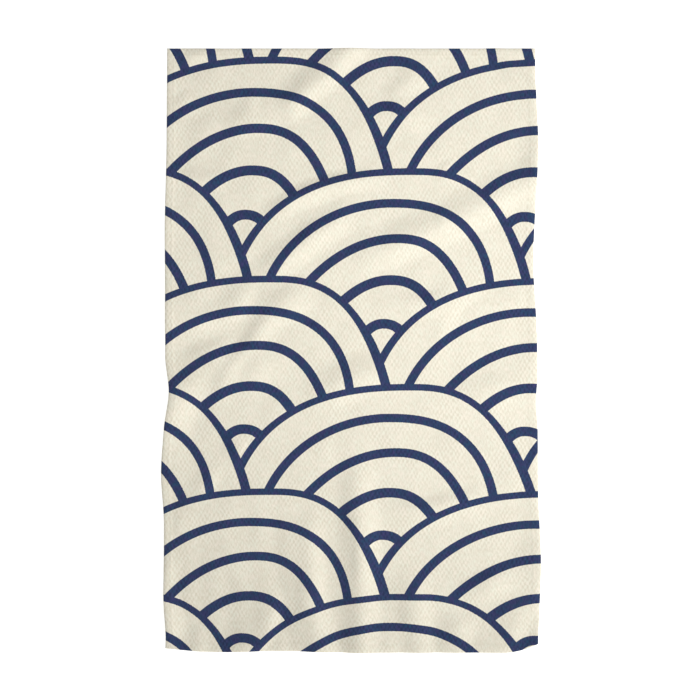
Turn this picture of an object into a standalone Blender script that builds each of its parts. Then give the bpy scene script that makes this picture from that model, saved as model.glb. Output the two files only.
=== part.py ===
"""A tea towel lying face up: one panel of waffle-woven cotton with a turned hem, in soft creases.

+X runs across the towel, +Y up to its straight top edge, +Z up. The towel lies on Z = 0.
"""
from collections import namedtuple

import bmesh
import bpy

MM = 0.001

# Driving sizes, in millimetres
TOP_WIDTH = 457.0
FOOT_WIDTH = 467.0
LENGTH = 750.0
CLOTH_THICKNESS = 1.6
HEM_THICKNESS = 2.6
HEM_DEPTH = 9.0
HEM_STEP = 1.0
COLUMNS = 46
ROWS = 74

# A wave of an edge: its middle and half length along the edge, and how far it moves a side edge to
# +X or the foot edge to +Y
Wave = namedtuple("Wave", "side middle reach shift")
EDGE_WAVES = (
    Wave("left", 150, 110, -1.6),
    Wave("left", -52, 46, 5.2),
    Wave("left", -150, 70, -4.2),
    Wave("left", -360, 60, 3.4),
    Wave("right", 262, 80, 3.0),
    Wave("right", 110, 100, -4.0),
    Wave("right", -64, 36, -2.0),
    Wave("right", -260, 90, 2.6),
    Wave("right", -375, 50, -1.6),
    Wave("foot", -90, 100, 2.0),
)
# How far into the cloth a wave still moves it
WAVE_DEPTH = 150.0

# A foot corner: how far in from the corner its edge starts to turn up, how far up the corner is
# drawn in the towel's plane, and how far it lifts off the surface
Corner = namedtuple("Corner", "side reach rise lift")
CORNERS = (
    Corner("left", 90, 6.0, 2.0),
    Corner("right", 44, 12.0, 4.0),
)

# A fold: the crest's two ends, how far the crest bows to the left of that way, its height, how far
# its foot reaches to the left and right of the crest, and whether it runs out over the edge at its
# second end
Fold = namedtuple("Fold", "x0 y0 x1 y1 bow height left right runs_out")
FOLDS = (
    Fold(-101, 291, 4, 380, -6, 4.1, 31, 25, True),
    Fold(-93, 276, -128, 324, 17, 2.8, 43, 21, False),
    Fold(-134, 144, 75, 213, 25, 3.7, 16, 21, False),
    Fold(-137, 72, 25, 189, 3, 4.5, 26, 26, False),
    Fold(-49, 94, 237, 218, -9, 4.4, 36, 29, True),
    Fold(-71, 77, -186, -85, -4, 3.3, 26, 19, False),
    Fold(-175, -5, -234, -146, -17, 6.2, 36, 48, False),
    Fold(-161, 20, -259, 96, 23, 5.6, 35, 48, False),
    Fold(-65, -67, 66, -29, 12, 5.1, 35, 32, False),
    Fold(6, -92, 13, -375, 1, 6.0, 30, 32, True),
    Fold(-55, -178, -38, -377, -6, 4.5, 27, 42, True),
    Fold(-104, -275, -128, -376, 17, 3.3, 18, 48, True),
    Fold(77, -251, 84, -377, -1, 3.6, 26, 31, True),
    Fold(173, -265, 187, -311, -8, 5.6, 48, 48, False),
    Fold(276, -174, 187, -373, 3, 3.2, 23, 44, True),
    Fold(-237, -282, -215, -381, -3, 5.6, 26, 25, False),
    Fold(164, 395, 267, 289, -8, 4.1, 14, 20, False),
    Fold(-99, 87, -89, 26, 10, 4.0, 48, 48, False),
    Fold(36, 312, 57, 386, -31, 2.3, 25, 28, False),
    Fold(11, -193, 192, -162, -18, 3.9, 19, 29, False),
    Fold(144, -323, 132, -377, -7, 3.2, 27, 32, True),
    Fold(37, 71, 137, 70, -12, 3.4, 19, 27, False),
    Fold(-85, 14, -144, -56, -2, 2.5, 30, 18, False),
    Fold(-120, 114, -188, 21, 17, 2.3, 18, 29, False),
    Fold(155, -77, 164, -23, 3, 3.3, 39, 48, False),
    Fold(-217, 357, -161, 363, 5, 2.3, 14, 14, False),
    Fold(-226, 230, -145, 217, -13, 2.6, 19, 16, False),
    Fold(148, -83, 265, -25, 11, 2.9, 48, 48, False),
    Fold(41, 326, 96, 270, -7, 2.6, 34, 14, False),
    Fold(-185, -34, -158, 23, -6, 3.1, 39, 41, False),
)
# The share of a fold's length over which it rises from nothing
FOLD_RISE = 0.45


def smooth(value):
    """Rise from 0 to 1 with level ends as value goes from 0 to 1."""
    value = min(max(value, 0.0), 1.0)
    return value * value * (3.0 - 2.0 * value)


def hump(value):
    """A smooth hump, 1 high at 0 and level with the ground from 1 out on either side."""
    return smooth(1.0 - abs(value))


def side_shift(side, x, y):
    """How far the waves of one side edge move the cloth at x, y to +X."""
    sign = -1.0 if side == "left" else 1.0
    from_edge = TOP_WIDTH / 2 - sign * x
    shift = sum(wave.shift * hump((y - wave.middle) / wave.reach)
                for wave in EDGE_WAVES if wave.side == side)
    return shift * smooth(1.0 - from_edge / WAVE_DEPTH)


def foot_shift(x, y):
    """How far the waves of the foot edge move the cloth at x, y to +Y."""
    shift = sum(wave.shift * hump((x - wave.middle) / wave.reach)
                for wave in EDGE_WAVES if wave.side == "foot")
    return shift * smooth(1.0 - (y + LENGTH / 2) / WAVE_DEPTH)


def corner_pull(corner, x, y):
    """How strongly a foot corner is turned at x, y: 1 at the corner, 0 beyond its reach."""
    sign = -1.0 if corner.side == "left" else 1.0
    across = max(FOOT_WIDTH / 2 - sign * x, 0.0) / corner.reach
    along = max(y + LENGTH / 2, 0.0) / corner.reach
    return max(1.0 - across, 0.0) ** 2 * max(1.0 - along, 0.0)


def laid_out(x, y):
    """Where a point of the cut cloth lies on the surface."""
    down = 0.5 - y / LENGTH
    spread = 1.0 + (FOOT_WIDTH / TOP_WIDTH - 1.0) * down
    moved_x = x * spread + side_shift("left", x, y) + side_shift("right", x, y)
    turned = sum(corner.rise * corner_pull(corner, moved_x, y) for corner in CORNERS)
    return moved_x, y + foot_shift(moved_x, y) + turned


def fold_height(fold, x, y):
    """The height that one fold gives the cloth at x, y."""
    way_x, way_y = fold.x1 - fold.x0, fold.y1 - fold.y0
    length = (way_x ** 2 + way_y ** 2) ** 0.5
    out_x, out_y = x - fold.x0, y - fold.y0
    along = (out_x * way_x + out_y * way_y) / length ** 2
    aside = (way_x * out_y - way_y * out_x) / length
    if along <= 0.0 or (along >= 1.0 and not fold.runs_out):
        return 0.0
    crest = fold.bow * 4.0 * along * (1.0 - along)
    reach = fold.left if aside > crest else fold.right
    rise = smooth(along / FOLD_RISE)
    fall = 1.0 if fold.runs_out else smooth((1.0 - along) / FOLD_RISE)
    return fold.height * rise * fall * hump((aside - crest) / reach)


def underside(x, y):
    """The height of the cloth's underside at x, y: nothing where it lies flat."""
    folds = sum(fold_height(fold, x, y) for fold in FOLDS)
    return folds + sum(corner.lift * corner_pull(corner, x, y) for corner in CORNERS)


def lines_across(half, count):
    """Grid lines over one side of the cloth, with two more lines at each hem's inner edge."""
    inner = half - HEM_DEPTH - HEM_STEP
    field = [inner * (2.0 * number / count - 1.0) for number in range(count + 1)]
    return [-half, HEM_DEPTH - half] + field + [half - HEM_DEPTH, half]


def thickness_at(x, y):
    """The cloth's thickness at a point of the cut cloth: more where its edge is turned under."""
    from_edge = min(TOP_WIDTH / 2 - abs(x), LENGTH / 2 - abs(y))
    return HEM_THICKNESS if from_edge < HEM_DEPTH + HEM_STEP / 2 else CLOTH_THICKNESS


def underside_sheet(mesh, thickness):
    """Lay the underside out as one sheet of quads, each point with the thickness above it."""
    xs = lines_across(TOP_WIDTH / 2, COLUMNS)
    ys = lines_across(LENGTH / 2, ROWS)
    for y in ys:
        for x in xs:
            flat_x, flat_y = laid_out(x, y)
            vert = mesh.verts.new((flat_x * MM, flat_y * MM, underside(flat_x, flat_y) * MM))
            vert[thickness] = thickness_at(x, y) * MM
    mesh.verts.ensure_lookup_table()
    across = len(xs)
    for low in range(0, across * (len(ys) - 1), across):
        for number in range(low, low + across - 1):
            corners = (number, number + 1, number + across + 1, number + across)
            mesh.faces.new([mesh.verts[corner] for corner in corners])


def centre_on_origin(mesh):
    """Put the middle of the sheet's outline over the origin."""
    for axis in (0, 1):
        low = min(vert.co[axis] for vert in mesh.verts)
        high = max(vert.co[axis] for vert in mesh.verts)
        for vert in mesh.verts:
            vert.co[axis] -= (low + high) / 2


def thicken(mesh, thickness):
    """Extrude the sheet upwards into a closed body."""
    raised = bmesh.ops.extrude_face_region(mesh, geom=mesh.faces[:], use_keep_orig=True)
    for item in raised["geom"]:
        if isinstance(item, bmesh.types.BMVert):
            item.co.z += item[thickness]
    bmesh.ops.recalc_face_normals(mesh, faces=mesh.faces[:])


def cotton():
    """Cream waffle-woven cotton."""
    material = bpy.data.materials.new("cotton")
    material.use_nodes = True
    shader = material.node_tree.nodes["Principled BSDF"]
    shader.inputs["Base Color"].default_value = (0.80, 0.76, 0.64, 1.0)
    shader.inputs["Roughness"].default_value = 0.9
    shader.inputs["Metallic"].default_value = 0.0
    return material


def make_towel():
    """The towel as one closed solid."""
    mesh = bmesh.new()
    thickness = mesh.verts.layers.float.new("thickness")
    underside_sheet(mesh, thickness)
    centre_on_origin(mesh)
    thicken(mesh, thickness)
    data = bpy.data.meshes.new("towel")
    mesh.to_mesh(data)
    mesh.free()
    data.materials.append(cotton())
    data.shade_smooth()
    towel = bpy.data.objects.new("towel", data)
    bpy.context.scene.collection.objects.link(towel)


for old in list(bpy.data.objects):
    bpy.data.objects.remove(old, do_unlink=True)
make_towel()
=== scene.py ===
"""The tea towel as it looks: waffle-woven cream cotton with a printed repeat of wave arcs, a turned
and stitched hem, and soft creases, lying face up on a pale floor under soft studio light.

Sizes in the tables are millimetres. x runs across the towel and y up to its straight top edge.
"""
import math
from collections import namedtuple

import bpy
import numpy as np
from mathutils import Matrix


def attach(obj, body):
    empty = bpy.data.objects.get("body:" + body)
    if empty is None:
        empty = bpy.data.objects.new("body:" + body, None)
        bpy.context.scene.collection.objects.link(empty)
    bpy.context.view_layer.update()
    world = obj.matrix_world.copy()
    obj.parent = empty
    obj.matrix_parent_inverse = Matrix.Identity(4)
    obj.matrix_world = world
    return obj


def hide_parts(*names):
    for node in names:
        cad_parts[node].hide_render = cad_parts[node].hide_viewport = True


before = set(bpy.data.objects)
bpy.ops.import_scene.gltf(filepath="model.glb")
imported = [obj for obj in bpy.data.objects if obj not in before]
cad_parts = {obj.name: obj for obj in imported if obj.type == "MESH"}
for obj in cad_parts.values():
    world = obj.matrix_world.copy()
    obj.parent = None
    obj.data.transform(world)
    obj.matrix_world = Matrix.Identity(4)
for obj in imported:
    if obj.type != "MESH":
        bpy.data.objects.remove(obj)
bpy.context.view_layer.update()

MM = 0.001
TAU = 2.0 * math.pi

# The cut cloth, as in the part
TOP_WIDTH = 457.0
FOOT_WIDTH = 467.0
LENGTH = 750.0
CLOTH_THICKNESS = 1.6
HEM_THICKNESS = 2.6

# The photograph's frame: 700 pixels across, this many millimetres each, and how far its middle
# lies from the middle of the towel
FRAME_PIXELS = 700
PIXEL = 1.2417
FRAME_MIDDLE = (-1.1, 0.6)
# The camera's lens and sensor, and how far it sees, in metres
LENS = 85.0
SENSOR = 36.0
FARTHEST_SEEN = 50.0

# A wave of an edge: its middle and half length along the edge, and how far it moves a side edge to
# +x or the foot edge to +y
Wave = namedtuple("Wave", "side middle reach shift")
EDGE_WAVES = (
    Wave("left", 150, 110, -1.6),
    Wave("left", -52, 46, 5.2),
    Wave("left", -150, 70, -4.2),
    Wave("left", -360, 60, 3.4),
    Wave("right", 262, 80, 3.0),
    Wave("right", 110, 100, -4.0),
    Wave("right", -64, 36, -2.0),
    Wave("right", -260, 90, 2.6),
    Wave("right", -375, 50, -1.6),
    Wave("foot", -90, 100, 2.0),
)
# How far into the cloth a wave still moves it
WAVE_DEPTH = 150.0

# A foot corner: how far in its edge starts to turn up, how far up the corner is drawn in the
# towel's plane, and how far it lifts off the surface
Corner = namedtuple("Corner", "side reach rise lift")
CORNERS = (
    Corner("left", 90, 6.0, 2.0),
    Corner("right", 44, 12.0, 4.0),
)

# A fold: its crest's two ends, how far the crest bows to the left of that way, its height, how far
# its foot reaches to the left and right of the crest, and whether it runs out at its second end
Fold = namedtuple("Fold", "x0 y0 x1 y1 bow height left right runs_out")
FOLDS = (
    Fold(-101, 291, 4, 380, -6, 4.1, 31, 25, True),
    Fold(-93, 276, -128, 324, 17, 2.8, 43, 21, False),
    Fold(-134, 144, 75, 213, 25, 3.7, 16, 21, False),
    Fold(-137, 72, 25, 189, 3, 4.5, 26, 26, False),
    Fold(-49, 94, 237, 218, -9, 4.4, 36, 29, True),
    Fold(-71, 77, -186, -85, -4, 3.3, 26, 19, False),
    Fold(-175, -5, -234, -146, -17, 6.2, 36, 48, False),
    Fold(-161, 20, -259, 96, 23, 5.6, 35, 48, False),
    Fold(-65, -67, 66, -29, 12, 5.1, 35, 32, False),
    Fold(6, -92, 13, -375, 1, 6.0, 30, 32, True),
    Fold(-55, -178, -38, -377, -6, 4.5, 27, 42, True),
    Fold(-104, -275, -128, -376, 17, 3.3, 18, 48, True),
    Fold(77, -251, 84, -377, -1, 3.6, 26, 31, True),
    Fold(173, -265, 187, -311, -8, 5.6, 48, 48, False),
    Fold(276, -174, 187, -373, 3, 3.2, 23, 44, True),
    Fold(-237, -282, -215, -381, -3, 5.6, 26, 25, False),
    Fold(164, 395, 267, 289, -8, 4.1, 14, 20, False),
    Fold(-99, 87, -89, 26, 10, 4.0, 48, 48, False),
    Fold(36, 312, 57, 386, -31, 2.3, 25, 28, False),
    Fold(11, -193, 192, -162, -18, 3.9, 19, 29, False),
    Fold(144, -323, 132, -377, -7, 3.2, 27, 32, True),
    Fold(37, 71, 137, 70, -12, 3.4, 19, 27, False),
    Fold(-85, 14, -144, -56, -2, 2.5, 30, 18, False),
    Fold(-120, 114, -188, 21, 17, 2.3, 18, 29, False),
    Fold(155, -77, 164, -23, 3, 3.3, 39, 48, False),
    Fold(-217, 357, -161, 363, 5, 2.3, 14, 14, False),
    Fold(-226, 230, -145, 217, -13, 2.6, 19, 16, False),
    Fold(148, -83, 265, -25, 11, 2.9, 48, 48, False),
    Fold(41, 326, 96, 270, -7, 2.6, 34, 14, False),
    Fold(-185, -34, -158, 23, -6, 3.1, 39, 41, False),
)
# Fainter creases between them
CREASES = (
    Fold(102, -32, 188, 97, 30, 2.1, 42, 21, False),
    Fold(-153, -126, -208, -205, 1, 1.5, 14, 23, False),
    Fold(254, 263, 227, 215, -14, 1.8, 15, 29, False),
    Fold(-31, -98, -27, -145, -8, 1.5, 19, 32, False),
    Fold(-141, -99, -155, -139, 10, 2.1, 18, 30, False),
    Fold(-216, -235, -235, -329, -5, 2.0, 19, 14, False),
    Fold(205, -104, 193, -197, 7, 1.8, 26, 48, False),
    Fold(-155, -178, -109, -326, -21, 0.6, 14, 14, False),
    Fold(94, 310, 216, 202, 15, 0.8, 14, 30, False),
    Fold(-217, 284, -191, 233, 22, 0.9, 48, 22, False),
    Fold(-187, 158, -127, 107, -26, 1.2, 32, 14, False),
    Fold(96, -95, 178, -181, 14, 2.0, 14, 33, False),
    Fold(-215, 32, -145, 55, 0, 2.3, 44, 20, False),
    Fold(-226, 42, -176, 98, 0, 1.9, 48, 26, False),
    Fold(-222, -14, -138, 14, 0, 1.6, 15, 40, False),
    Fold(-62, 282, -86, 322, 0, 1.6, 18, 34, False),
    Fold(9, -195, 12, -310, 0, 1.5, 30, 14, False),
    Fold(-56, -265, -58, -350, 0, 1.4, 30, 16, False),
    Fold(46, -328, 45, -377, 0, 2.0, 26, 22, True),
    Fold(-222, 295, -193, 324, 0, 1.4, 14, 30, False),
    Fold(-211, -185, -213, -245, 0, 1.6, 28, 14, False),
    Fold(100, 212, 134, 238, 0, 1.4, 12, 26, False),
    Fold(206, 88, 208, 42, 0, 1.3, 14, 30, False),
    Fold(70, -300, 72, -352, 0, 1.3, 30, 14, False),
    Fold(119, 146, 106, 182, 0, 1.6, 13, 28, False),
    Fold(-190, -336, -188, -377, 0, 1.5, 14, 20, True),
    Fold(-89, -338, -87, -377, 0, 1.4, 14, 20, True),
)
# The share of a fold's length over which it rises from nothing
FOLD_RISE = 0.45

# Faint upright ripples over the lower left: their pitch, height and lean, and where they grow from
# nothing on each side, with the distance that takes
RIPPLE_PITCH = 31.0
RIPPLE_HEIGHT = 0.4
RIPPLE_LEAN = 0.05
RIPPLE_LEFT = (-240.0, 30.0)
RIPPLE_RIGHT = (20.0, 60.0)
RIPPLE_TOP = (-60.0, 260.0)
# Soft unevenness all over: waves running this way across and up, their lengths and starts, their
# height, and how far below their middle the cloth already rests on the surface
UNEVENNESS = (
    (0.94, 0.34, 61.0, 0.4),
    (0.26, -0.97, 53.0, 1.9),
    (0.71, -0.71, 44.0, 3.1),
    (-0.42, 0.91, 71.0, 5.2),
    (0.98, -0.17, 37.0, 2.3),
)
UNEVEN_HEIGHT = 0.11
UNEVEN_REST = 3.0

# The hem, by distance from the edge: how far in the edge is rounded, and how far it is drawn down
# and inwards there
EDGE_ROUND = 1.5
EDGE_DROP = 0.5
EDGE_INSET = 0.35
# Where its stitches run, and the depth and half width of the groove that they make
STITCH_LINE = 7.4
STITCH_GROOVE = 0.18
GROOVE_REACH = 1.1
# Where it ends, how wide the step there is on the face and the back, and the grid's lines over it
HEM_DEPTH = 9.0
FACE_STEP = 1.2
BACK_STEP = 1.0
HEM_LINES = (0.0, 0.5, 1.5, 4.2, 6.3, 7.4, 8.5, 9.1, 10.2)
# How high the hem holds the single cloth beside it, and how far in that takes to settle
SETTLE_HEIGHT = 1.0
SETTLE_REACH = 26.0

# The waffle: one cell's width and length, and the depth from ridge to pit
CELL_WIDTH = 5.4
CELL_LENGTH = 8.9
CELL_DEPTH = 0.6
BACK_CELL_DEPTH = 0.2
# How much of the relief is left where the hem is pressed flat, and how soon it is back beyond it
HEM_FLATTENING = 0.6
FLATTENING_REACH = 2.5
# How much shallower the waffle is where the cloth is pressed, and the waves of that: their way
# across and up, length and start
PRESSED = 0.45
PRESSED_WAVES = (
    (0.89, 0.46, 23.0, 0.7),
    (0.31, -0.95, 29.0, 2.2),
    (-0.77, 0.64, 41.0, 4.1),
    (0.12, 0.99, 67.0, 5.0),
)

# Stitches: their pitch, length, width and height
STITCH_PITCH = 3.2
STITCH_LENGTH = 2.5
STITCH_WIDTH = 0.55
STITCH_HEIGHT = 0.2
# A stitch's bead: places along it with how full it is there, and how many sides it has
BEAD = ((-0.5, 0.0), (-0.36, 0.75), (0.0, 1.0), (0.36, 0.75), (0.5, 0.0))
BEAD_SIDES = 6

# How much of the print shows on the cloth's back, on its rim and on the back's stitches
BACK_PRINT = 0.07
RIM_PRINT = 0.8
BACK_STITCH_PRINT = 0.05

# The bake's maps: the margin, the room left beside the cloth across and along, how far the rim is
# folded out, beyond which share of the width and length it is, and the stitches' own scale
MAP_MARGIN = 0.004
MAP_ROOM = (12.0, 6.0)
RIM_UNFOLD = 1.4
RIM_SHARE = (0.46, 0.485)
STITCH_MAP = (1.7, 1.03)

# The print: the repeat's width, the step between its rows, the first row's crown, how the cloth
# draws rows and repeats together on its way down, and how far the rows drift left and slant
REPEAT = 348.4
ROW_STEP = 138.3
FIRST_CROWN = (-110.2, 380.0)
ROW_SQUEEZE = 5.66e-5
REPEAT_SQUEEZE = 2.5e-5
DRIFT = 0.0105
SLANT = 0.008
# Where the cloth is drawn aside at its right foot corner: middle, half sizes and way
PULL_MIDDLE = (342.0, -453.0)
PULL_REACH = (360.0, 500.0)
PULL = (31.5, -0.7)
# An arc of one fan: its crown from the fan's own place, the width of its line, and each quarter's
# reach, fall and roundness, where 2 makes an ellipse and more a squarer shoulder
Arc = namedtuple("Arc", "x drop line left right")
Quarter = namedtuple("Quarter", "reach fall round")
ARCS = (
    Arc(21.2, 20.4, 8.7, Quarter(237.4, 216.9, 2.49), Quarter(154.9, 325.3, 2.47)),
    Arc(-9.6, 60.7, 11.1, Quarter(165.8, 156.7, 1.98), Quarter(124.8, 140.0, 2.49)),
    Arc(-3.4, 105.9, 11.7, Quarter(190.6, 299.2, 1.98), Quarter(110.2, 280.0, 2.49)),
    Arc(-11.3, 158.8, 12.7, Quarter(142.4, 298.4, 1.98), Quarter(91.7, 298.6, 2.49)),
    Arc(-20.2, 215.0, 12.6, Quarter(34.3, 53.5, 1.98), Quarter(41.4, 106.7, 2.49)),
)
# How much wider the outermost line gets on its left and right, and how far below its crown that
# starts and ends
OUTER_SWELL = (1.4, 3.2)
SWELL_START = 23.2
SWELL_END = 103.7
# How soft the ink's edge is, and the least values that the arcs' formula divides by or raises
INK_EDGE = 0.4
LEAST_SHARE = 1e-5
LEAST_TOTAL = 1e-6
LEAST_SLOPE = 1e-7

# A noise in the material: its scale, detail and roughness, and how much it counts
Noise = namedtuple("Noise", "scale detail roughness amount")
PRINT_WANDER = Noise(0.9, 2.0, 0.5, 0.9)
CELL_WAVER = Noise(0.08, 2.0, 0.5, (5.0, 7.0))
MOTTLE = Noise(0.05, 3.0, 0.5, 0.5)
CLOUD = Noise(0.21, 2.0, 0.5, 0.7)
GRAIN = Noise(1.0, 2.0, 0.6, 2.7)
FLECK = Noise(1.3, 2.0, 0.6, 0.8)
TINT = Noise(0.16, 2.0, 0.5, 3.0)
# Where the cloth is pressed less shade is painted into its cells: the noise's range, and the painted
# shade's strength
PIT_SHADE_NOISE = Noise(0.035, 2.0, 0.5, (-0.62, -0.12))
PIT_SHADE_RANGE = (0.36, 0.64)
# The grain's lean: how much of x and of y goes across it, and of y along it
GRAIN_LEAN = (0.75, 0.12, 0.2)
SHADE_BASE = 0.2
TINT_BASE = 0.5
# The yarns: their pitch across and along, and their share and the flecks' in the fine bump
YARN_PITCH = (0.9, 0.8)
YARN_BUMP = 0.25
FLECK_BUMP = 1.4
BUMP_STRENGTH = 0.5
BUMP_DEPTH = 0.12
# The cotton's roughness, how much less the ink has, its shine and its bloom
ROUGHNESS = 0.93
INK_SMOOTHER = -0.08
SHINE = 0.25
BLOOM = 0.12
BLOOM_ROUGHNESS = 0.5


def srgb(red, green, blue):
    """A linear colour from display values between 0 and 255."""
    def linear(value):
        value /= 255.0
        return value / 12.92 if value <= 0.04045 else ((value + 0.055) / 1.055) ** 2.4
    return (linear(red), linear(green), linear(blue), 1.0)


# The cream and ink, a warmer cream and a more violet ink for a random tint, and darker copies of
# both that take the cotton's random darker tone and painted shade in the waffle's pits
CREAM = srgb(236, 234, 217)
CREAM_WARM = srgb(241, 233, 217)
CREAM_SHADED = srgb(222, 215, 195)
INK = srgb(36, 68, 100)
INK_VIOLET = srgb(57, 57, 103)
INK_DARK_AND_SHADED = srgb(35, 46, 80)
FLOOR = srgb(200, 200, 200)
WHITE = (1.0, 1.0, 1.0, 1.0)

# The floor: half its size and how far it lies under the towel, in metres, its glow and its shine
FLOOR_HALF = 12.0
FLOOR_DROP = 0.0004
FLOOR_GLOW = 0.75
FLOOR_SHINE = 0.1

# The key light: degrees round from +x, degrees up, its breadth in degrees, and its strength. The
# fill light: its place and aim in metres, its size, and its power
KEY = (-34.0, 27.0, 12.0, 1.8)
FILL = ((0.30, -0.09, 0.96), (0.34, 0.6, 0.0), 0.5, 6.8)
ROOM_LIGHT = 0.31


def smooth(value):
    """Rise from 0 to 1 with level ends as value goes from 0 to 1."""
    value = np.clip(value, 0.0, 1.0)
    return value * value * (3.0 - 2.0 * value)


def hump(value):
    """A smooth hump, 1 high at 0 and level with the ground from 1 out on either side."""
    return smooth(1.0 - np.abs(value))


def side_shift(side, x, y):
    """How far the waves of one side edge move the cloth at x, y to +x."""
    sign = -1.0 if side == "left" else 1.0
    inwards = TOP_WIDTH / 2 - sign * x
    shift = sum(wave.shift * hump((y - wave.middle) / wave.reach)
                for wave in EDGE_WAVES if wave.side == side)
    return shift * smooth(1.0 - inwards / WAVE_DEPTH)


def foot_shift(x, y):
    """How far the waves of the foot edge move the cloth at x, y to +y."""
    shift = sum(wave.shift * hump((x - wave.middle) / wave.reach)
                for wave in EDGE_WAVES if wave.side == "foot")
    return shift * smooth(1.0 - (y + LENGTH / 2) / WAVE_DEPTH)


def corner_pull(corner, x, y):
    """How strongly a foot corner is turned at x, y: 1 at the corner, 0 beyond its reach."""
    sign = -1.0 if corner.side == "left" else 1.0
    across = np.maximum(FOOT_WIDTH / 2 - sign * x, 0.0) / corner.reach
    along = np.maximum(y + LENGTH / 2, 0.0) / corner.reach
    return np.maximum(1.0 - across, 0.0) ** 2 * np.maximum(1.0 - along, 0.0)


def laid_out(x, y):
    """Where a point of the cut cloth lies on the surface."""
    down = 0.5 - y / LENGTH
    spread = 1.0 + (FOOT_WIDTH / TOP_WIDTH - 1.0) * down
    moved_x = x * spread + side_shift("left", x, y) + side_shift("right", x, y)
    turned = sum(corner.rise * corner_pull(corner, moved_x, y) for corner in CORNERS)
    return moved_x, y + foot_shift(moved_x, y) + turned


def fold_height(fold, x, y):
    """The height that one fold gives the cloth at x, y."""
    way_x, way_y = fold.x1 - fold.x0, fold.y1 - fold.y0
    length = math.hypot(way_x, way_y)
    along = ((x - fold.x0) * way_x + (y - fold.y0) * way_y) / length ** 2
    aside = (way_x * (y - fold.y0) - way_y * (x - fold.x0)) / length
    crest = fold.bow * 4.0 * along * (1.0 - along)
    reach = np.where(aside > crest, fold.left, fold.right)
    rise = smooth(along / FOLD_RISE)
    fall = 1.0 if fold.runs_out else smooth((1.0 - along) / FOLD_RISE)
    return fold.height * rise * fall * hump((aside - crest) / reach)


def ripples(x, y):
    """Faint upright ripples over the lower left, deeper towards the foot, and a soft unevenness."""
    band = smooth((x - RIPPLE_LEFT[0]) / RIPPLE_LEFT[1])
    band = band * smooth((RIPPLE_RIGHT[0] - x) / RIPPLE_RIGHT[1])
    band = band * smooth((RIPPLE_TOP[0] - y) / RIPPLE_TOP[1])
    wave = np.cos(TAU * (x + RIPPLE_LEAN * y) / RIPPLE_PITCH)
    upright = band * RIPPLE_HEIGHT * (0.5 + 0.5 * wave)
    uneven = sum(np.sin((x * across + y * up) * TAU / pitch + start)
                 for across, up, pitch, start in UNEVENNESS)
    return upright + UNEVEN_HEIGHT * np.maximum(UNEVEN_REST + uneven, 0.0)


def fold_lift(x, y):
    """How high the folds and the turned corners lift the cloth at x, y."""
    folds = sum(fold_height(fold, x, y) for fold in FOLDS + CREASES)
    corners = sum(corner.lift * corner_pull(corner, x, y) for corner in CORNERS)
    return folds + corners + ripples(x, y)


def from_edge(u, v):
    """The distance of a point of the cut cloth from its nearest edge."""
    return np.minimum(TOP_WIDTH / 2 - np.abs(u), LENGTH / 2 - np.abs(v))


def settle(edge):
    """How far the single cloth just inside the hem is held off the surface."""
    past_hem = smooth((edge - HEM_DEPTH) / BACK_STEP)
    return SETTLE_HEIGHT * past_hem * smooth(1.0 - edge / SETTLE_REACH)


def waffle(u, v, edge):
    """The waffle's relief, from -1 in a pit to 1 on a ridge, pressed flat in the hem."""
    relief = np.cos(TAU * u / CELL_WIDTH) * np.cos(TAU * v / CELL_LENGTH)
    waves = sum(np.sin((u * across + v * up) * TAU / pitch + start)
                for across, up, pitch, start in PRESSED_WAVES)
    relief *= 1.0 - PRESSED * smooth(0.5 + waves / len(PRESSED_WAVES))
    past_hem = smooth((edge - HEM_DEPTH) / FLATTENING_REACH)
    return relief * (HEM_FLATTENING + (1.0 - HEM_FLATTENING) * past_hem)


def face_point(u, v):
    """A point of the printed face, from its place on the cut cloth."""
    x, y = laid_out(u, v)
    edge = from_edge(u, v)
    in_hem = smooth((HEM_DEPTH + FACE_STEP - edge) / FACE_STEP)
    inside = CLOTH_THICKNESS + SETTLE_HEIGHT * smooth(1.0 - edge / SETTLE_REACH)
    height = inside + (HEM_THICKNESS - inside) * in_hem
    height -= EDGE_DROP * (1.0 - smooth(edge / EDGE_ROUND))
    height -= STITCH_GROOVE * hump((edge - STITCH_LINE) / GROOVE_REACH)
    height += CELL_DEPTH / 2 * waffle(u, v, edge)
    return x, y, height + fold_lift(x, y)


def back_point(u, v):
    """A point of the back, from its place on the cut cloth."""
    x, y = laid_out(u, v)
    edge = from_edge(u, v)
    height = settle(edge) + EDGE_DROP * (1.0 - smooth(edge / EDGE_ROUND))
    height += BACK_CELL_DEPTH / 2 * (1.0 + waffle(u, v, edge)) * smooth(edge / EDGE_ROUND)
    return x, y, height + fold_lift(x, y)


def grid_lines(half, step):
    """Lines across the cloth: close together over both hems, and one for each step of the waffle."""
    count = int((half - HEM_LINES[-1] - step / 2) / step)
    field = [number * step for number in range(-count, count + 1)]
    hem = [half - distance for distance in HEM_LINES]
    return np.array([-place for place in hem] + field + hem[::-1])


def outline_centre():
    """The middle of the laid-out cloth's box, which the part puts over the origin."""
    run = np.linspace(-0.5, 0.5, int(LENGTH) + 1)
    us = np.concatenate([run * TOP_WIDTH, run * TOP_WIDTH, run * 0 - TOP_WIDTH / 2,
                         run * 0 + TOP_WIDTH / 2])
    vs = np.concatenate([run * 0 - LENGTH / 2, run * 0 + LENGTH / 2, run * LENGTH, run * LENGTH])
    x, y = laid_out(us, vs)
    return (x.min() + x.max()) / 2, (y.min() + y.max()) / 2


CENTRE_X, CENTRE_Y = outline_centre()


def in_metres(x, y, z):
    """Points in the frame's metres, the towel's box centred over the origin."""
    return np.stack([x - CENTRE_X, y - CENTRE_Y, z], axis=-1).reshape(-1, 3) * MM


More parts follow.
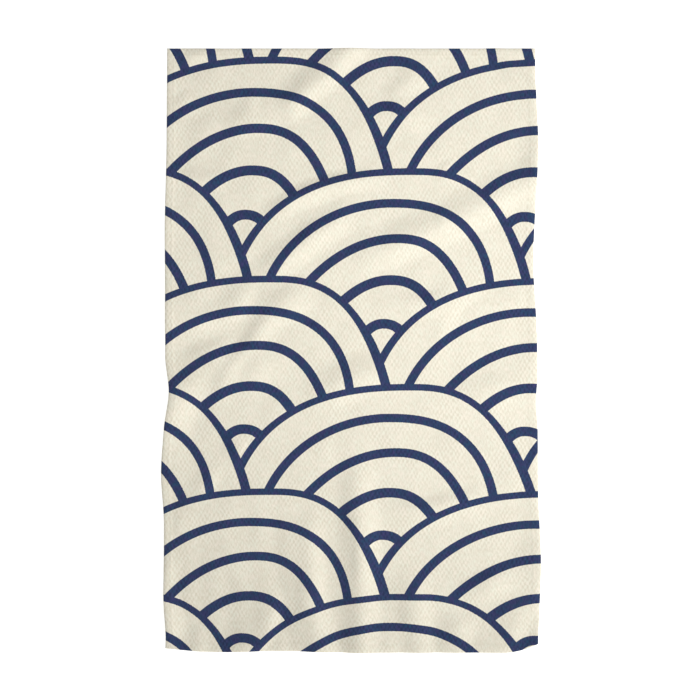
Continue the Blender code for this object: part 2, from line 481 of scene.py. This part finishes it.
def new_object(name, points, faces, loops_uv=None, printed=None):
    """A mesh object from points and faces, with its bake map and how much print each point has."""
    mesh = bpy.data.meshes.new(name)
    mesh.from_pydata(points.tolist(), [], faces)
    if loops_uv is not None:
        layer = mesh.uv_layers.new(name="OFBake")
        layer.data.foreach_set("uv", loops_uv.astype(np.float32).ravel())
    if printed is not None:
        mesh.attributes.new("printed", "FLOAT", "POINT").data.foreach_set(
            "value", printed.astype(np.float32))
    mesh.shade_smooth()
    obj = bpy.data.objects.new(name, mesh)
    bpy.context.scene.collection.objects.link(obj)
    return obj


def grid_faces(columns, rows, first, flip):
    """Quads over a grid of points numbered row by row."""
    faces = []
    for row in range(rows - 1):
        low = first + row * columns
        for column in range(columns - 1):
            quad = (low + column, low + column + 1,
                    low + column + columns + 1, low + column + columns)
            faces.append(quad[::-1] if flip else quad)
    return faces


def boundary(columns, rows):
    """Row and column numbers around a grid's edge, anticlockwise seen from above."""
    return ([(0, column) for column in range(columns - 1)]
            + [(row, columns - 1) for row in range(rows - 1)]
            + [(rows - 1, column) for column in range(columns - 1, 0, -1)]
            + [(row, 0) for row in range(rows - 1, 0, -1)])


def make_cloth():
    """The cloth as one closed sheet: waffled face and back, joined round a soft folded edge."""
    us = grid_lines(TOP_WIDTH / 2, CELL_WIDTH / 2)
    vs = grid_lines(LENGTH / 2, CELL_LENGTH / 4)
    hem = len(HEM_LINES)
    middle = (len(vs) - 1) // 2
    kept = [row for row in range(len(vs))
            if row < hem or row >= len(vs) - hem or (row - middle) % 2 == 0]
    columns, rows, back_rows = len(us), len(vs), len(kept)
    face_u, face_v = np.meshgrid(us, vs)
    back_u, back_v = np.meshgrid(us, vs[kept])
    rim = boundary(columns, rows)
    rim_u = np.array([us[column] for row, column in rim])
    rim_v = np.array([vs[row] for row, column in rim])
    face = in_metres(*face_point(face_u, face_v))
    back = in_metres(*back_point(back_u, back_v))
    rim_x, rim_y, rim_low = back_point(rim_u, rim_v)
    rim_high = face_point(rim_u, rim_v)[2]
    rim_points = in_metres(rim_x, rim_y, (rim_low + rim_high) / 2)
    inset_edges(face, columns, rows)
    inset_edges(back, columns, back_rows)
    first_back = len(face)
    first_rim = first_back + len(back)
    faces = grid_faces(columns, rows, 0, False)
    faces += grid_faces(columns, back_rows, first_back, True)
    place = {pair: number for number, pair in enumerate(rim)}
    for number, (row, column) in enumerate(rim):
        after = (number + 1) % len(rim)
        next_row, next_column = rim[after]
        faces.append((row * columns + column, first_rim + number, first_rim + after,
                      next_row * columns + next_column))
    loop = boundary(columns, back_rows)
    for number, (row, column) in enumerate(loop):
        next_row, next_column = loop[(number + 1) % len(loop)]
        start = place[(kept[row], column)]
        steps = (place[(kept[next_row], next_column)] - start) % len(rim)
        run = [first_rim + (start + step) % len(rim) for step in range(steps + 1)]
        faces.append((first_back + row * columns + column,
                      first_back + next_row * columns + next_column, *run[::-1]))
    points = np.concatenate([face, back, rim_points])
    printed = np.concatenate([np.ones(len(face)), np.full(len(back), BACK_PRINT),
                              np.full(len(rim_points), RIM_PRINT)])
    uvs = bake_map(points, faces, first_back, first_rim)
    return new_object("towel_cloth", points, faces, uvs, printed)


def inset_edges(points, columns, rows):
    """Draw a grid's outermost points in a little, so that the cloth's edge is round."""
    inset = EDGE_INSET * MM
    grid = points.reshape(rows, columns, 3)
    grid[:, 0, 0] += inset
    grid[:, -1, 0] -= inset
    grid[0, :, 1] += inset
    grid[-1, :, 1] -= inset


def bake_map(points, faces, first_back, first_rim):
    """The bake's map: the face large on the left, the back smaller beside it, the rim folded out."""
    width, length = FOOT_WIDTH * MM, LENGTH * MM
    face_scale = (1.0 - 2 * MAP_MARGIN) / (length + MAP_ROOM[1] * MM)
    back_scale = (1.0 - 4 * MAP_MARGIN) / (width + MAP_ROOM[0] * MM) - face_scale
    half_x = (width + MAP_ROOM[0] * MM) / 2
    half_y = length / 2
    unfold = RIM_UNFOLD * MM
    spots = points[:, :2].copy()
    rim = spots[first_rim:]
    for axis, limit in enumerate((RIM_SHARE[0] * width, RIM_SHARE[1] * length)):
        outermost = np.abs(rim[:, axis]) > limit
        rim[:, axis] += np.where(outermost, np.sign(rim[:, axis]) * unfold, 0.0)
    uvs = []
    for face in faces:
        on_back = first_back <= face[0] < first_rim
        scale = back_scale if on_back else face_scale
        shift = 2 * MAP_MARGIN + 2 * half_x * face_scale if on_back else MAP_MARGIN
        for corner in face:
            x, y = spots[corner]
            uvs.append((shift + (x + half_x) * scale, MAP_MARGIN + (y + half_y + unfold) * scale))
    return np.array(uvs)


def stitch_places():
    """Where the stitches lie on the cut cloth, and which way they run."""
    places = []
    half_u = TOP_WIDTH / 2 - STITCH_LINE
    half_v = LENGTH / 2 - STITCH_LINE
    for along_u, half, other in ((True, half_u, half_v), (False, half_v, half_u)):
        count = int(2 * half / STITCH_PITCH)
        for side in (-1, 1):
            for number in range(count):
                at = -half + (number + 0.5) * 2 * half / count
                places.append((at, side * other, 1, 0) if along_u else (side * other, at, 0, 1))
    return np.array(places, dtype=float)


def make_stitches():
    """The hem's lockstitch, a short rounded bead for each stitch on the face and on the back."""
    places = stitch_places()
    points, faces, printed = [], [], []
    for surface, up, ink in ((face_point, 1.0, 1.0), (back_point, -1.0, BACK_STITCH_PRINT)):
        for u, v, du, dv in places:
            first = len(points)
            for along, girth in BEAD:
                at_u = u + along * STITCH_LENGTH * du
                at_v = v + along * STITCH_LENGTH * dv
                x, y, z = (float(value) for value in surface(at_u, at_v))
                for side in range(BEAD_SIDES if girth else 1):
                    turn = TAU * side / BEAD_SIDES
                    across = math.cos(turn) * girth * STITCH_WIDTH / 2
                    lift = math.sin(turn) * girth * STITCH_HEIGHT * up
                    points.append((x - across * dv, y + across * du, z + lift))
                    printed.append(ink)
            faces += bead_faces(first, len(BEAD) - 2, BEAD_SIDES)
    points = in_metres(*np.array(points).T)
    mesh_uv = [stitch_spot(points[corner]) for face in faces for corner in face]
    return new_object("hem_stitches", points, faces, np.array(mesh_uv), np.array(printed))


def bead_faces(first, rings, sides):
    """Faces of a bead: a point, some rings and a point, numbered from first."""
    start, end = first, first + 1 + rings * sides
    faces = []
    for side in range(sides):
        after = (side + 1) % sides
        faces.append((start, start + 1 + after, start + 1 + side))
        for ring in range(rings - 1):
            low = start + 1 + ring * sides
            faces.append((low + side, low + after, low + sides + after, low + sides + side))
        last = end - sides
        faces.append((last + side, last + after, end))
    return faces


def stitch_spot(point):
    """A stitch's place on its bake map, seen from above."""
    return (0.5 + point[0] / (FOOT_WIDTH * MM * STITCH_MAP[0]),
            0.5 + point[1] / (LENGTH * MM * STITCH_MAP[1]))


class Tree:
    """Short ways to add nodes to a material or a node group."""

    def __init__(self, tree):
        """Keep the tree that the nodes go into."""
        self.tree = tree

    def put(self, socket, value):
        """Link a socket to another, or set its own value."""
        if isinstance(value, bpy.types.NodeSocket):
            self.tree.links.new(value, socket)
        else:
            socket.default_value = value

    def math(self, operation, first, second=0.0, third=0.0):
        """A sum, product or other step on numbers."""
        node = self.tree.nodes.new("ShaderNodeMath")
        node.operation = operation
        for socket, value in zip(node.inputs, (first, second, third)):
            self.put(socket, value)
        return node.outputs[0]

    def vector(self, operation, first, second=(0.0, 0.0, 0.0)):
        """A step on vectors, or a vector's length."""
        node = self.tree.nodes.new("ShaderNodeVectorMath")
        node.operation = operation
        self.put(node.inputs[0], first)
        self.put(node.inputs[1], second)
        return node.outputs["Value" if operation == "LENGTH" else "Vector"]

    def split(self, vector):
        """A vector's three numbers."""
        node = self.tree.nodes.new("ShaderNodeSeparateXYZ")
        self.put(node.inputs[0], vector)
        return node.outputs[0], node.outputs[1], node.outputs[2]

    def join(self, x, y, z=0.0):
        """A vector from its numbers."""
        node = self.tree.nodes.new("ShaderNodeCombineXYZ")
        for socket, value in zip(node.inputs, (x, y, z)):
            self.put(socket, value)
        return node.outputs[0]

    def blend(self, factor, first, second, kind="RGBA"):
        """Go from one colour, vector or number to another as the factor goes from 0 to 1."""
        node = self.tree.nodes.new("ShaderNodeMix")
        node.data_type = kind
        index = {"FLOAT": 2, "VECTOR": 4, "RGBA": 6}[kind]
        self.put(node.inputs[0], factor)
        self.put(node.inputs[index], first)
        self.put(node.inputs[index + 1], second)
        return node.outputs[index // 2 - 1]

    def noise(self, place, noise):
        """A noise between 0 and 1."""
        node = self.tree.nodes.new("ShaderNodeTexNoise")
        self.put(node.inputs["Vector"], place)
        self.put(node.inputs["Scale"], noise.scale)
        self.put(node.inputs["Detail"], noise.detail)
        self.put(node.inputs["Roughness"], noise.roughness)
        return node.outputs["Fac"]

    def swing(self, place, noise):
        """A noise around 0."""
        return self.math("SUBTRACT", self.noise(place, noise), 0.5)

    def soft_range(self, value, before, after):
        """Take a value from one range to another, with level ends."""
        node = self.tree.nodes.new("ShaderNodeMapRange")
        node.interpolation_type = "SMOOTHSTEP"
        for socket, number in zip(node.inputs[1:5], (*before, *after)):
            socket.default_value = number
        self.put(node.inputs[0], value)
        return node.outputs[0]

    def group(self, group, **values):
        """A node group with its inputs, and its outputs."""
        node = self.tree.nodes.new("ShaderNodeGroup")
        node.node_tree = group
        for name, value in values.items():
            self.put(node.inputs[name.replace("_", " ")], value)
        return node.outputs


def new_group(name, inputs, outputs):
    """An empty node group with its sockets: the tree, its input sockets and its output node."""
    group = bpy.data.node_groups.new(name, "ShaderNodeTree")
    for socket, kind in inputs:
        group.interface.new_socket(socket, in_out="INPUT", socket_type=kind)
    for socket, kind in outputs:
        group.interface.new_socket(socket, in_out="OUTPUT", socket_type=kind)
    source = group.nodes.new("NodeGroupInput")
    sink = group.nodes.new("NodeGroupOutput")
    return group, Tree(group), source.outputs, sink.inputs


def arc_group():
    """How far a place lies inside an arc's middle line, and half the line's width there.

    The line is two rounded quarters that meet at the crown and run straight down at their ends.
    Left and Right hold a quarter's reach, fall and roundness, Line a width and its two swells.
    """
    vectors = [(name, "NodeSocketVector") for name in ("Place", "Crown", "Left", "Right", "Line")]
    group, tree, given, result = new_group(
        "arc", vectors, (("Distance", "NodeSocketFloat"), ("Half", "NodeSocketFloat")))
    across, up, _ = tree.split(tree.vector("SUBTRACT", given["Place"], given["Crown"]))
    on_right = tree.math("GREATER_THAN", across, 0.0)
    reach, fall, roundness = tree.split(
        tree.blend(on_right, given["Left"], given["Right"], "VECTOR"))
    power = tree.math("SUBTRACT", roundness, 1.0)
    share_x = tree.math("DIVIDE", tree.math("ABSOLUTE", across), reach)
    share_y = tree.math("DIVIDE", tree.math("MAXIMUM", tree.math("ADD", up, fall), 0.0), fall)
    raised_x = tree.math("POWER", tree.math("MAXIMUM", share_x, LEAST_SHARE), power)
    raised_y = tree.math("POWER", tree.math("MAXIMUM", share_y, LEAST_SHARE), power)
    total = tree.math("MULTIPLY_ADD", share_x, raised_x, tree.math("MULTIPLY", share_y, raised_y))
    total = tree.math("MAXIMUM", total, LEAST_TOTAL)
    ratio = tree.math("POWER", total, tree.math("DIVIDE", 1.0, roundness))
    slope = tree.vector("LENGTH", tree.join(tree.math("DIVIDE", raised_x, reach),
                                            tree.math("DIVIDE", raised_y, fall)))
    gap = tree.math("MULTIPLY", tree.math("SUBTRACT", 1.0, ratio), total)
    fall_off = tree.math("MAXIMUM", tree.math("MULTIPLY", slope, ratio), LEAST_SLOPE)
    tree.put(result["Distance"], tree.math("DIVIDE", gap, fall_off))
    line, left_swell, right_swell = tree.split(given["Line"])
    swell = tree.blend(on_right, left_swell, right_swell, "FLOAT")
    grown = tree.soft_range(tree.math("MULTIPLY", up, -1.0), (SWELL_START, SWELL_END), (0.0, 0.5))
    tree.put(result["Half"], tree.math(
        "MULTIPLY_ADD", swell, grown, tree.math("MULTIPLY", line, 0.5)))
    return group


def fan_group(arc):
    """One fan of arcs: whether a place lies in it, and how much ink it has there."""
    group, tree, given, result = new_group(
        "fan", (("Place", "NodeSocketVector"),),
        (("Inside", "NodeSocketFloat"), ("Ink", "NodeSocketFloat")))
    ink = 0.0
    for row in ARCS:
        swell = OUTER_SWELL if row is ARCS[0] else (0.0, 0.0)
        found = tree.group(arc, Place=given["Place"], Crown=(row.x, -row.drop, 0.0),
                           Left=row.left, Right=row.right, Line=(row.line, *swell))
        beside = tree.math("SUBTRACT", found["Half"], tree.math("ABSOLUTE", found["Distance"]))
        ink = tree.math("MAXIMUM", ink, soft_edge(tree, beside))
        if row is ARCS[0]:
            reached = tree.math("ADD", found["Distance"], found["Half"])
            tree.put(result["Inside"], soft_edge(tree, reached))
    tree.put(result["Ink"], ink)
    return group


def soft_edge(tree, value):
    """0 to 1 as value in millimetres passes through 0, over a short soft edge."""
    node = tree.tree.nodes.new("ShaderNodeMapRange")
    for socket, number in zip(node.inputs[1:5], (-INK_EDGE / 2, INK_EDGE / 2, 0.0, 1.0)):
        socket.default_value = number
    tree.put(node.inputs[0], value)
    return node.outputs[0]


def nearness(tree, value, middle, reach):
    """1 at the middle, falling smoothly to 0 at the reach on either side."""
    away = tree.math("ABSOLUTE", tree.math("SUBTRACT", value, middle))
    return tree.soft_range(away, (0.0, reach), (1.0, 0.0))


def print_group():
    """The printed repeat: how much ink a place of the cloth has, from its place in millimetres.

    Fans stand in rows, each row half a repeat aside from the one above and in front of it. In a
    row each fan covers the left side of the next.
    """
    fan = fan_group(arc_group())
    group, tree, given, result = new_group(
        "wave print", (("Place", "NodeSocketVector"),), (("Ink", "NodeSocketFloat"),))
    x, y, _ = tree.split(given["Place"])
    drawn = tree.math("MULTIPLY", nearness(tree, x, PULL_MIDDLE[0], PULL_REACH[0]),
                      nearness(tree, y, PULL_MIDDLE[1], PULL_REACH[1]))
    x = tree.math("MULTIPLY_ADD", drawn, -PULL[0], x)
    y = tree.math("MULTIPLY_ADD", drawn, -PULL[1], y)
    y = tree.math("MULTIPLY_ADD", x, SLANT, y)
    down = tree.math("SUBTRACT", FIRST_CROWN[1], y)
    stretch = tree.math("MULTIPLY_ADD", down, ROW_SQUEEZE, 1.0)
    depth = tree.math("MULTIPLY", down, stretch)
    widen = tree.math("MULTIPLY_ADD", down, REPEAT_SQUEEZE, 1.0)
    aside = tree.math("MULTIPLY_ADD", down, DRIFT, -FIRST_CROWN[0])
    across = tree.math("MULTIPLY_ADD", x, widen, aside)
    row = tree.math("FLOOR", tree.math("DIVIDE", depth, ROW_STEP))
    ink = 0.0
    for back in (1, 0):
        this_row = tree.math("SUBTRACT", row, float(back))
        odd = tree.math("FLOORED_MODULO", this_row, 2.0)
        along = tree.math("MULTIPLY_ADD", odd, -REPEAT / 2, across)
        from_left = tree.math("FLOORED_MODULO", along, REPEAT)
        below = tree.math("MULTIPLY_ADD", this_row, ROW_STEP, tree.math("MULTIPLY", depth, -1.0))
        for start in (REPEAT, 0.0):
            place = tree.join(tree.math("SUBTRACT", from_left, start), below)
            found = tree.group(fan, Place=place)
            uncovered = tree.math("MULTIPLY", ink, tree.math("SUBTRACT", 1.0, found["Inside"]))
            ink = tree.math("ADD", uncovered, found["Ink"])
    tree.put(result["Ink"], ink)
    return group


def cell_relief(tree, x, y, place):
    """How high a place lies in the waffle's cells, and how strongly that paints shade into the
    colour: painted shade in the pits, painted light on the ridges.
    """
    waver = tree.swing(place, CELL_WAVER)
    cell_x = tree.math("MULTIPLY_ADD", waver, CELL_WAVER.amount[0], x)
    cell_y = tree.math("MULTIPLY_ADD", waver, CELL_WAVER.amount[1], y)
    relief = tree.math("MULTIPLY",
                       tree.math("COSINE", tree.math("MULTIPLY", cell_x, TAU / CELL_WIDTH)),
                       tree.math("COSINE", tree.math("MULTIPLY", cell_y, TAU / CELL_LENGTH)))
    painted_pit_shade = tree.soft_range(tree.noise(place, PIT_SHADE_NOISE), PIT_SHADE_RANGE, PIT_SHADE_NOISE.amount)
    return relief, painted_pit_shade


def grain_swing(tree, x, y):
    """The leaning streaks of the yarns, around 0."""
    across, slant, along = GRAIN_LEAN
    lean = tree.join(tree.math("MULTIPLY_ADD", y, slant, tree.math("MULTIPLY", x, across)),
                     tree.math("MULTIPLY", y, along))
    return tree.swing(lean, GRAIN)


def yarn_bump(tree, x, y, fleck):
    """The fine relief of single yarns and flecks."""
    warp = tree.math("SINE", tree.math("MULTIPLY", x, TAU / YARN_PITCH[0]))
    weft = tree.math("SINE", tree.math("MULTIPLY", y, TAU / YARN_PITCH[1]))
    yarn = tree.math("MULTIPLY_ADD", warp, 0.5, tree.math("MULTIPLY", weft, 0.5))
    height = tree.math("MULTIPLY_ADD", fleck, FLECK_BUMP, tree.math("MULTIPLY", yarn, YARN_BUMP))
    bump = tree.tree.nodes.new("ShaderNodeBump")
    bump.inputs["Strength"].default_value = BUMP_STRENGTH
    bump.inputs["Distance"].default_value = BUMP_DEPTH * MM
    tree.put(bump.inputs["Height"], height)
    return bump.outputs["Normal"]


def cotton_material():
    """Printed waffle cotton: its colours with painted shade in the waffle's pits, yarns, relief and
    soft bloom.
    """
    material = bpy.data.materials.new("printed_cotton")
    material.use_nodes = True
    tree = Tree(material.node_tree)
    shader = material.node_tree.nodes["Principled BSDF"]
    here = material.node_tree.nodes.new("ShaderNodeTexCoord").outputs["Object"]
    place = tree.vector("MULTIPLY", here, (1.0 / MM, 1.0 / MM, 1.0 / MM))
    x, y, _ = tree.split(place)
    wander = tree.swing(place, PRINT_WANDER)
    ragged = tree.join(tree.math("MULTIPLY_ADD", wander, PRINT_WANDER.amount, x),
                       tree.math("MULTIPLY_ADD", wander, PRINT_WANDER.amount, y))
    ink = tree.group(print_group(), Place=ragged)["Ink"]
    printed = material.node_tree.nodes.new("ShaderNodeAttribute")
    printed.attribute_name = "printed"
    ink = tree.math("MULTIPLY", ink, printed.outputs["Fac"])
    fleck = tree.noise(place, FLECK)
    relief, painted_pit_shade = cell_relief(tree, x, y, place)
    shade = tree.math("MULTIPLY_ADD", tree.noise(place, MOTTLE), MOTTLE.amount, SHADE_BASE)
    # Painted shade in the waffle's pits and painted light on its ridges
    shade = tree.math("MULTIPLY_ADD", relief, painted_pit_shade, shade)
    shade = tree.math("MULTIPLY_ADD", tree.swing(place, CLOUD), CLOUD.amount, shade)
    shade = tree.math("MULTIPLY_ADD", grain_swing(tree, x, y), GRAIN.amount, shade)
    shade = tree.math("MULTIPLY_ADD", tree.math("SUBTRACT", fleck, 0.5), FLECK.amount, shade)
    tint = tree.math("MULTIPLY_ADD", tree.swing(place, TINT), TINT.amount, TINT_BASE)
    # The darker copies take random mottle, cloud, grain and flecks, and the painted shade of the
    # waffle's pits
    cream = tree.blend(shade, tree.blend(tint, CREAM, CREAM_WARM), CREAM_SHADED)
    navy = tree.blend(shade, tree.blend(tint, INK, INK_VIOLET), INK_DARK_AND_SHADED)
    tree.put(shader.inputs["Base Color"], tree.blend(ink, cream, navy))
    tree.put(shader.inputs["Normal"], yarn_bump(tree, x, y, fleck))
    tree.put(shader.inputs["Roughness"], tree.math("MULTIPLY_ADD", ink, INK_SMOOTHER, ROUGHNESS))
    shader.inputs["Specular IOR Level"].default_value = SHINE
    shader.inputs["Sheen Weight"].default_value = BLOOM
    shader.inputs["Sheen Roughness"].default_value = BLOOM_ROUGHNESS
    return material


def make_floor():
    """A plain pale floor under the towel."""
    corners = ((-1, -1), (1, -1), (1, 1), (-1, 1))
    points = np.array([(x * FLOOR_HALF, y * FLOOR_HALF, -FLOOR_DROP) for x, y in corners])
    floor = new_object("studio_floor", points, [(0, 1, 2, 3)])
    material = bpy.data.materials.new("studio_floor")
    material.use_nodes = True
    shader = material.node_tree.nodes["Principled BSDF"]
    shader.inputs["Base Color"].default_value = FLOOR
    shader.inputs["Roughness"].default_value = 1.0
    shader.inputs["Specular IOR Level"].default_value = FLOOR_SHINE
    shader.inputs["Emission Color"].default_value = WHITE
    shader.inputs["Emission Strength"].default_value = FLOOR_GLOW
    floor.data.materials.append(material)


def area_light(name, place, aim, size, power):
    """A square soft light at a place, facing a point."""
    light = bpy.data.lights.new(name, "AREA")
    light.size = size
    light.energy = power
    obj = bpy.data.objects.new(name, light)
    bpy.context.scene.collection.objects.link(obj)
    obj.location = place
    way = np.array(aim) - np.array(place)
    turn = math.atan2(way[1], way[0]) - math.pi / 2
    obj.rotation_euler = (math.atan2(math.hypot(way[0], way[1]), -way[2]), 0.0, turn)


def sun_light(name, azimuth, elevation, breadth, strength):
    """A far soft light from a direction: degrees round from +x and degrees up."""
    light = bpy.data.lights.new(name, "SUN")
    light.energy = strength
    light.angle = math.radians(breadth)
    obj = bpy.data.objects.new(name, light)
    bpy.context.scene.collection.objects.link(obj)
    obj.rotation_euler = (math.radians(90.0 - elevation), 0.0, math.radians(azimuth + 90.0))


def light_studio():
    """A soft light low on the towel's right, a softer one over it, and an even white room."""
    sun_light("key", *KEY)
    area_light("fill", *FILL)
    world = bpy.data.worlds.new("studio")
    world.use_nodes = True
    world.node_tree.nodes["Background"].inputs["Color"].default_value = WHITE
    world.node_tree.nodes["Background"].inputs["Strength"].default_value = ROOM_LIGHT
    bpy.context.scene.world = world
    bpy.context.scene.view_settings.view_transform = "Standard"


def aim_camera():
    """A camera straight above the towel, framed as in the photograph."""
    camera = bpy.data.cameras.new("camera")
    camera.lens = LENS
    camera.sensor_width = SENSOR
    camera.clip_end = FARTHEST_SEEN
    obj = bpy.data.objects.new("camera", camera)
    bpy.context.scene.collection.objects.link(obj)
    away = FRAME_PIXELS * PIXEL * LENS / SENSOR
    obj.location = (FRAME_MIDDLE[0] * MM, FRAME_MIDDLE[1] * MM, (away + CLOTH_THICKNESS) * MM)
    bpy.context.scene.camera = obj


cotton = cotton_material()
cloth = make_cloth()
stitches = make_stitches()
for piece in (cloth, stitches):
    piece.data.materials.append(cotton)
    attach(piece, "root")
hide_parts("towel")
make_floor()
light_studio()
aim_camera()
